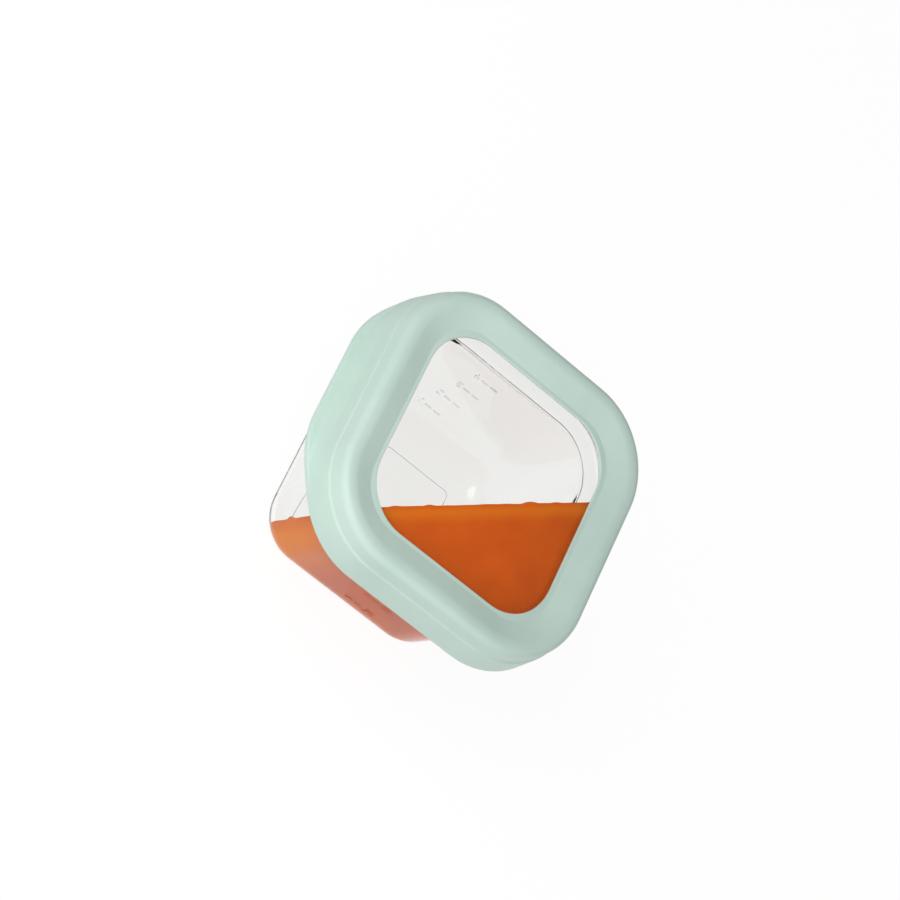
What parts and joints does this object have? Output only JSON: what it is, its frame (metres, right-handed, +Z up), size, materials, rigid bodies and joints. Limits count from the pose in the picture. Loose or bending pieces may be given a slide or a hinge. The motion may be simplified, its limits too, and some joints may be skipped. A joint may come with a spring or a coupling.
{
  "type": "baby food freezer container",
  "caption": "Square clear freezer cup with a rolled base edge, closed by a soft ring lid with a clear recessed window and a lift tab, partly filled with set puree.",
  "frame": {"origin": "centre of the standing pad under the cup, on the surface it stands on", "axes": "+Z up through the lid, -X towards the lid's lift tab"},
  "size_m": [0.0903, 0.0858, 0.0604],
  "materials": {
    "clear_cup": "clear, glossy",
    "orange_puree": "smooth and moist",
    "mint_ring": "soft satin",
    "clear_window": "clear, glossy"
  },
  "bodies": {
    "cup": {"cup": "clear_cup", "puree": "orange_puree"},
    "lid": {"lid_frame": "mint_ring", "lid_window": "clear_window"}
  },
  "joints": [
    {"name": "lid_lift", "type": "slide", "parent": "cup", "child": "lid", "axis": [0, 0, 1], "range_m": [0, 0.06]}
  ]
}
